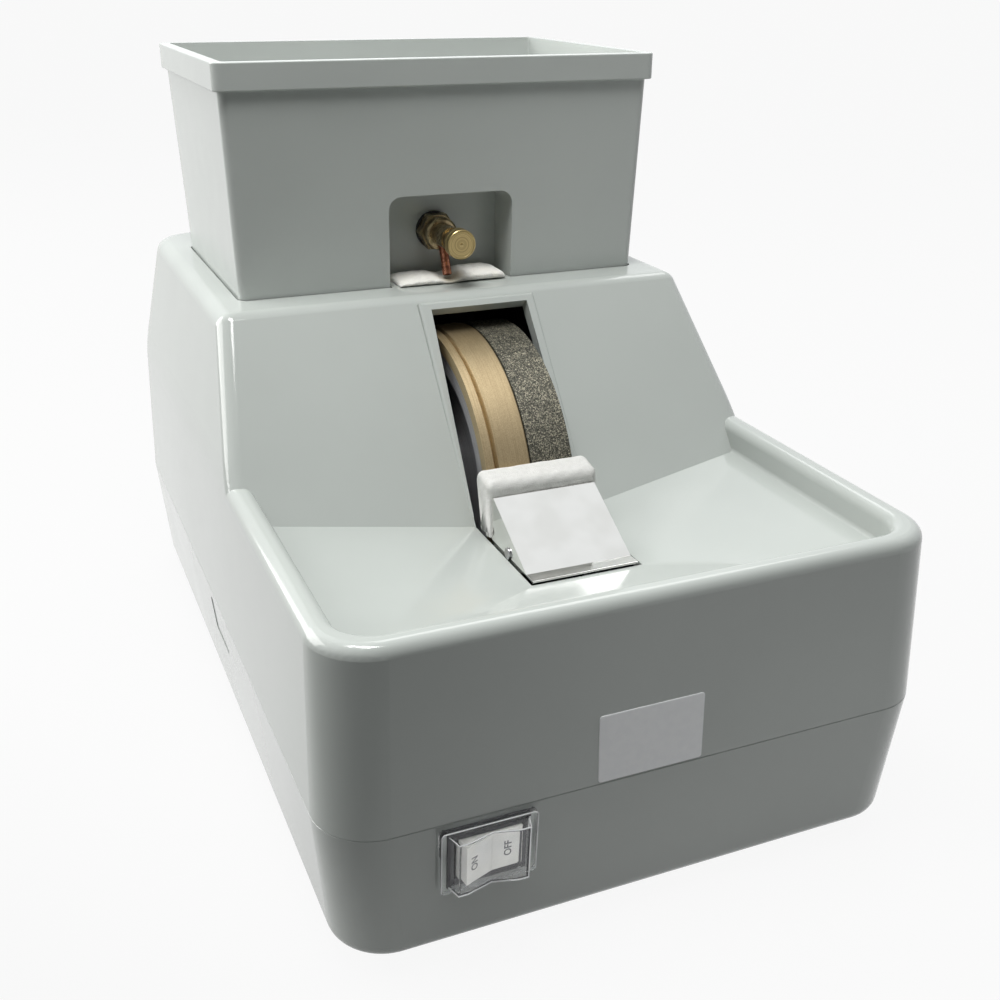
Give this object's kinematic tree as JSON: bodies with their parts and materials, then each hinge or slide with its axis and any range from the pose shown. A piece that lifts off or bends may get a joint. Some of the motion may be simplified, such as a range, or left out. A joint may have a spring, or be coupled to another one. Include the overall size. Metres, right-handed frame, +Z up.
{
  "type": "lens faceting machine",
  "caption": "Bench machine for grinding lens edges, with wheels behind an open basin, a tilting splash guard, and a lift-off water tank with a drip tap.",
  "frame": {"origin": "on the surface that the feet stand on, centred in width and depth over everything, the drain spigot and switch boot included", "axes": "+X to the right as seen by the person who uses it, +Y to the back, +Z up"},
  "size_m": [0.28, 0.468, 0.3317],
  "materials": {
    "housing_plastic": "glossy moulded",
    "tank_plastic": "semi-gloss moulded",
    "tap_brass": "turned, slightly aged",
    "copper": "drawn tube",
    "sponge": "open-celled",
    "foam": "matte foam",
    "bevel_ring": "fine diamond bond, brushed round",
    "coarse_ring": "coarse diamond bond",
    "core_steel": "turned",
    "machined_steel": "machined",
    "plated_steel": "zinc plated",
    "guard_steel": "polished stainless sheet",
    "lamination": "stacked sheet",
    "motor_alloy": "cast",
    "capacitor_can": "drawn",
    "black_plastic": "moulded",
    "white_plastic": "moulded",
    "clear_plastic": "soft clear",
    "rubber": "matte"
  },
  "bodies": {
    "housing": {"lower_base": "housing_plastic", "rear_panel": "black_plastic", "panel_screws": "plated_steel", "upper_housing": "housing_plastic", "side_latch": "housing_plastic", "drip_sponge": "sponge", "front_bearing": "machined_steel", "rear_bearing": "machined_steel", "stator": "lamination", "motor_shell": "motor_alloy", "motor_front_cap": "motor_alloy", "motor_rear_cap": "motor_alloy", "motor_bracket": "plated_steel", "motor_screws": "plated_steel", "bracket_screws": "plated_steel", "splash_chamber": "black_plastic", "shaft_seal": "rubber", "drain_spigot": "black_plastic", "drain_nut": "black_plastic", "guard_bracket": "plated_steel", "guard_pin": "machined_steel", "switch_body": "black_plastic", "switch_pin": "machined_steel", "switch_boot": "clear_plastic", "rubber_feet": "rubber", "foot_screws": "plated_steel", "housing_screws": "plated_steel", "cord_gland": "black_plastic", "gland_nut": "black_plastic", "capacitor": "capacitor_can", "capacitor_clip": "plated_steel", "terminal_block": "white_plastic"},
    "wheels": {"bevel_wheel_rim": "bevel_ring", "coarse_wheel_rim": "coarse_ring", "bevel_wheel_core": "core_steel", "coarse_wheel_core": "core_steel", "outer_flange": "machined_steel", "inner_flange": "machined_steel", "wheel_nut": "machined_steel", "motor_shaft": "machined_steel", "rotor": "lamination"},
    "guard": {"guard_plate": "guard_steel", "guard_pad": "foam"},
    "rocker": {"switch_rocker": "white_plastic"},
    "tank": {"water_tank": "tank_plastic", "tap_gasket": "rubber", "tap_hex_nut": "tap_brass", "tap_body": "tap_brass", "tap_spout": "copper", "tap_back_nut": "tap_brass"},
    "tap_handle": {"tap_knob": "tap_brass"}
  },
  "joints": [
    {"name": "wheel_spin", "type": "hinge", "parent": "housing", "child": "wheels", "pos_m": [0, -0.0105, 0.1203], "axis": [1, 0, 0], "continuous": true},
    {"name": "guard_tilt", "type": "hinge", "parent": "housing", "child": "guard", "pos_m": [0.002, -0.1245, 0.1283], "axis": [1, 0, 0], "range_deg": [0, 95]},
    {"name": "switch_rock", "type": "hinge", "parent": "housing", "child": "rocker", "pos_m": [-0.0756, -0.22188, 0.05419], "axis": [0, 0.0624, -0.9981], "range_deg": [0, 20]},
    {"name": "tank_lift", "type": "slide", "parent": "housing", "child": "tank", "axis": [0, 0, 1], "range_m": [0, 0.15]},
    {"name": "tap_turn", "type": "hinge", "parent": "tank", "child": "tap_handle", "pos_m": [0.0008, 0, 0.243], "axis": [0, -1, 0], "range_deg": [0, 540]}
  ]
}
